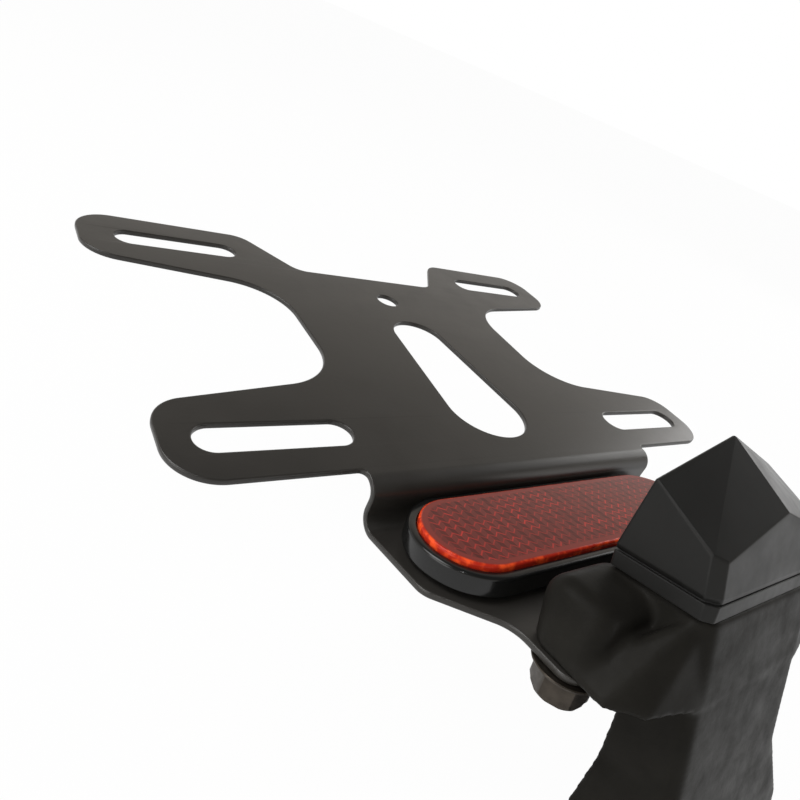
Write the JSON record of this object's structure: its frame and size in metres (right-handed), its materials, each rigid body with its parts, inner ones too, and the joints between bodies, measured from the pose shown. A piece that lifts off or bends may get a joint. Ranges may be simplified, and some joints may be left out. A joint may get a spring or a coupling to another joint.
{
  "type": "tail tidy",
  "caption": "Motorcycle tail tidy: folded number plate bracket with plate slots, rear reflector, number plate lamp and a moulded arm that bolts under the tail.",
  "frame": {"origin": "middle of the four tail bolts on the arm's flat top face, where it meets the machine's tail", "axes": "+X across the machine, +Y down the number plate from the lamp, +Z out of the number plate's face"},
  "size_m": [0.1906, 0.222, 0.1181],
  "materials": {
    "powder_steel": "dark satin powder coat",
    "cup_black": "gloss",
    "lens_red": "gloss, prismatic",
    "zinc_steel": "zinc plated",
    "bolt_steel": "dark plated",
    "brass": "satin",
    "arm_black": "moulded, fine grain",
    "hood_black": "smooth satin",
    "seal_rubber": "matt",
    "pane_clear": "clear",
    "board_white": "satin",
    "led_yellow": "gloss"
  },
  "bodies": {
    "root": {"plate_bracket": "powder_steel", "reflector_cup": "cup_black", "reflector_lens": "lens_red", "reflector_stud": "zinc_steel", "reflector_washer": "zinc_steel", "reflector_nut": "zinc_steel", "lamp_base": "hood_black", "lamp_seal": "seal_rubber", "lamp_hood": "hood_black", "lamp_pane": "pane_clear", "led_board": "board_white", "led_chips": "led_yellow", "board_screws": "zinc_steel", "lamp_screws": "zinc_steel", "tail_arm": "arm_black", "arm_cover": "arm_black", "cover_screws": "zinc_steel", "flange_bolts": "bolt_steel", "flange_inserts": "brass", "tail_bushes": "zinc_steel", "spreader_plate": "zinc_steel", "wire_grommet": "seal_rubber"}
  },
  "joints": []
}
